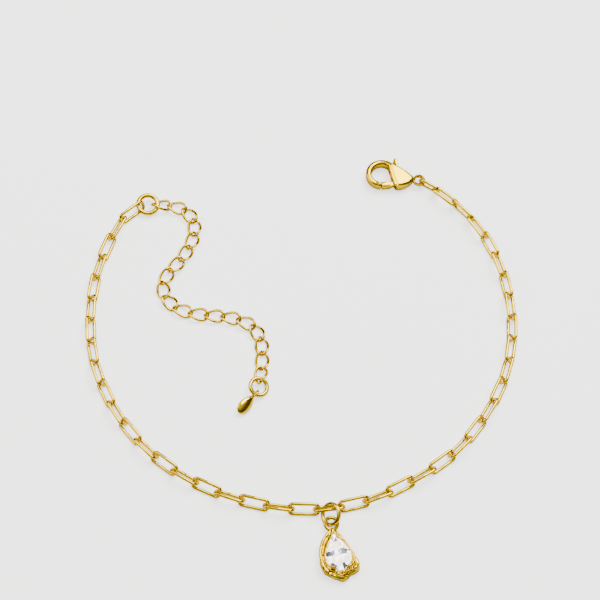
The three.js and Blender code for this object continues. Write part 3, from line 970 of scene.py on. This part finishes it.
RIGHT_RIM = [
    (0.35, 3.85, 1.2, 0.7), (1.12, 2.7, 1.5, 0.5), (1.8, 1.25, 1.5, 0.5), (2.3, -0.3, 1.5, 0.6),
    (2.7, -1.8, 1.45, 0.9), (2.85, -2.7, 1.4, 1.2),
]
WAX_ROPES = [
    # name, places, thickness
    ("left_rim", LEFT_RIM, 0.36),
    ("right_rim", RIGHT_RIM, 0.34),
    ("inner_rim", round_stone(1.12, 1.5, 12, 360), 0.12),
    ("inner_wall", round_stone(0.98, 1.72, 20, 165), 0.2),
]
WAX_PATS = [
    # name, x, y, z, half sizes, turn
    ("foot_left", -1.3, -3.75, 0.9, (0.9, 0.35, 0.55), -35),
    ("foot_ridge", 0.3, -3.9, 1.1, (0.3, 0.75, 0.7), 20),
    ("foot_bright", -0.35, -3.95, 1.35, (0.75, 0.26, 0.5), -30),
    ("foot_right", 1.0, -3.6, 1.2, (0.35, 0.5, 0.5), -40),
    ("heel", 2.4, -3.1, 1.1, (0.65, 0.5, 0.7), 10),
    ("claw_left", -1.2, -2.65, 1.95, (0.55, 0.28, 0.35), -25),
    ("claw_right", 1.45, -2.75, 1.75, (0.6, 0.3, 0.3), 25),
    ("crumb", 1.75, -3.3, 1.3, (0.35, 0.3, 0.35), 0),
    ("neck", 0.05, 4.1, 0.98, (0.4, 0.45, 0.4), 0),
]


def wax_model():
    """The plate, ropes and pats, joined as loose shells."""
    wax = plate("cast_setting", FRAME_EDGE, FRAME_THICK, FRAME_RIM, 3)
    wax.data.transform(Matrix.Translation((0, 0, FRAME_MIDDLE)))
    shapes = [rope(*form) for form in WAX_ROPES] + [pat(*form) for form in WAX_PATS]
    take(wax)
    for shape in shapes:
        shape.select_set(True)
    bpy.ops.object.join()
    return wax


setting = wax_model()
print("wax corners:", len(setting.data.vertices))

# %% [markdown]
# The remesh makes one closed skin. A Displace modifier with a cloud texture gives the hammered
# relief. Pits are cut between the folds, and a light Smooth then takes the edge off them and off the
# voxel steps. What has to be crisp comes last: the bail is joined on, and the stone's own form cuts
# the seat, with a hole through the back and a flat underside.

# %% Casting
VOXEL = 0.06
HAMMER_SIZE = 0.8
HAMMER_DEPTH = 0.2
SOFTENING = 4
PITS = [
    # name, x, y, z, half sizes, turn
    ("pit_left", -0.95, -3.35, 1.75, (0.34, 0.14, 0.5), -25),
    ("pit_middle", 0.0, -3.35, 1.75, (0.3, 0.15, 0.5), 30),
    ("pit_right", 0.75, -4.1, 1.5, (0.16, 0.45, 0.5), -20),
    ("pit_heel", 2.0, -2.9, 1.9, (0.4, 0.12, 0.5), 35),
]
BAIL_RADIUS = 1.0
BAIL_WIRE = 0.3
BAIL_AT = (0.1, 5.12, 1.1)
BAIL_LEAN = 14
SEAT_EASE = (1.015, 1.015, 1.03)
HOLE_SHARE = 0.78


def roughen(wax):
    """Melts the wax into one skin, hammers it and cuts its pits."""
    modify(wax, "REMESH", mode="VOXEL", voxel_size=VOXEL, adaptivity=0.0)
    clouds = bpy.data.textures.new("hammering", "CLOUDS")
    clouds.noise_scale = HAMMER_SIZE
    clouds.noise_depth = 1
    modify(
        wax, "DISPLACE", texture=clouds, strength=HAMMER_DEPTH, mid_level=0.5, texture_coords="LOCAL"
    )
    for pit in PITS:
        combine(wax, pat(*pit), "DIFFERENCE")
    modify(wax, "SMOOTH", factor=0.5, iterations=SOFTENING)


def fit(wax):
    """Joins the bail on, and cuts the stone's seat, the hole under it and the flat back."""
    bail = jump_ring("bail", BAIL_RADIUS, BAIL_WIRE, 0)
    lean = Matrix.Rotation(math.radians(BAIL_LEAN), 4, "X")
    bail.data.transform(Matrix.Translation(BAIL_AT) @ lean)
    combine(wax, bail, "UNION")
    eased = Matrix.Diagonal((*SEAT_EASE, 1))
    seat_tool.data.transform(Matrix.Translation((0, 0, STONE_GIRDLE)) @ eased)
    combine(wax, seat_tool, "DIFFERENCE")
    opening = [pear(360 * k / 64, HOLE_SHARE) for k in range(64)]
    combine(wax, plate("hole", opening, THROUGH), "DIFFERENCE")
    under = bar("under", -9, 9, -9, 9, 1)
    under.data.transform(Matrix.Translation((0, 0, -0.5)))
    combine(wax, under, "DIFFERENCE")


roughen(setting)
fit(setting)
lay_down(setting, charm_place, "charm_setting", cast_gold, angle=50)
print("setting faces:", len(setting.data.polygons))

# %% [markdown]
# ## The table, the light and the camera
# The bracelet lies on a matt off-white board. Polished metal shows what is round it, and a board
# lit as brightly as it looks here would fill the gold from below and wash its dark edges out. So the
# board is lit moderately and has a glow that only the camera sees. The Light Path node tells camera
# rays from the rest.

# %% The board
BOARD_SHADES = ((0.85, 0.855, 0.86, 1), (0.88, 0.885, 0.89, 1))


def board_finish():
    """Matt off-white card with a fine grain."""
    matt = {"Roughness": 0.85, "Specular IOR Level": 0.2, "Emission Strength": 1.6}
    material, tree, board = new_material("off_white_board", matt)
    seen = add_node(tree, "LightPath").outputs["Is Camera Ray"]
    place = add_node(tree, "TexCoord").outputs["Object"]
    grain = add_node(tree, "TexNoise", {"Scale": 900.0, "Detail": 5.0})
    shade = add_node(tree, "Mix", dict(zip("AB", BOARD_SHADES)), data_type="RGBA")
    bump = add_node(tree, "Bump", {"Strength": 0.12, "Distance": 0.0001})
    link(
        tree,
        (place, grain.inputs["Vector"]),
        (grain.outputs["Fac"], shade.inputs["Factor"]),
        (grain.outputs["Fac"], bump.inputs["Height"]),
        (shade.outputs["Result"], board.inputs["Base Color"]),
        (bump.outputs["Normal"], board.inputs["Normal"]),
        (seen, board.inputs["Emission Color"]),
    )
    return material


clear_bench()
bpy.ops.mesh.primitive_plane_add(size=3)
board = fresh("board")
board.data.materials.append(board_finish())
print("board:", board.name)

# %% [markdown]
# One big soft light stands high on the right and behind, so soft shadows fall to the front left, and
# a weaker, warmer one fills them. The room is white overhead and dim in a band above the table,
# which draws dark edges on the wires and on the clasp's rounded rim.

# %% Light
LIGHTS = [
    # name, place, size, power, color
    ("window", (0.23, 0.33, 0.62), 0.55, 11.0, (1.0, 1.0, 1.0)),
    ("fill", (-0.5, 0.1, 0.5), 0.5, 3.5, (1.0, 0.88, 0.74)),
]
ROOM = [(0.0, (0.5,)), (0.08, (0.12, 0.10, 0.08)), (0.55, (0.09, 0.07, 0.05)), (1.0, (1.05,))]
ROOM_STRENGTH = 0.95


def soft_light(name, place, size, power, color):
    """A square soft light that faces the bracelet."""
    bpy.ops.object.light_add(type="AREA", location=place)
    light = bpy.context.object
    light.name = name
    light.data.size = size
    light.data.energy = power
    light.data.color = color
    light.rotation_euler = (-Vector(place)).to_track_quat("-Z", "Y").to_euler()


def room():
    """A room that is bright overhead and dim in a band above the table's level."""
    world = bpy.data.worlds.new("room")
    bpy.context.scene.world = world
    world.use_nodes = True
    tree = world.node_tree
    background = fill_in(tree.nodes["Background"], {"Strength": ROOM_STRENGTH})
    way = add_node(tree, "TexCoord").outputs["Generated"]
    split = add_node(tree, "SeparateXYZ")
    fade = ramp(tree, "LINEAR", ROOM)
    link(
        tree,
        (way, split.inputs["Vector"]),
        (split.outputs["Z"], fade.inputs["Fac"]),
        (fade.outputs["Color"], background.inputs["Color"]),
    )


for light in LIGHTS:
    soft_light(*light)
room()

# %% [markdown]
# The camera looks down at the table at a steep slant, as someone does who stands over a necklace
# tray, with a long lens so that the loop keeps its shape.

# %% Camera
CAMERA_AT = (-0.0002, -0.1826, 0.3554)
CAMERA_SLANT = 61.3  # degrees above the horizon
LENS = 143.1
bpy.ops.object.camera_add(location=CAMERA_AT)
camera = bpy.context.object
camera.rotation_euler = (math.radians(90 - CAMERA_SLANT), 0, 0)
camera.data.lens = LENS
camera.data.clip_start = 0.01
bpy.context.scene.camera = camera
print("camera:", [round(c, 3) for c in camera.location])
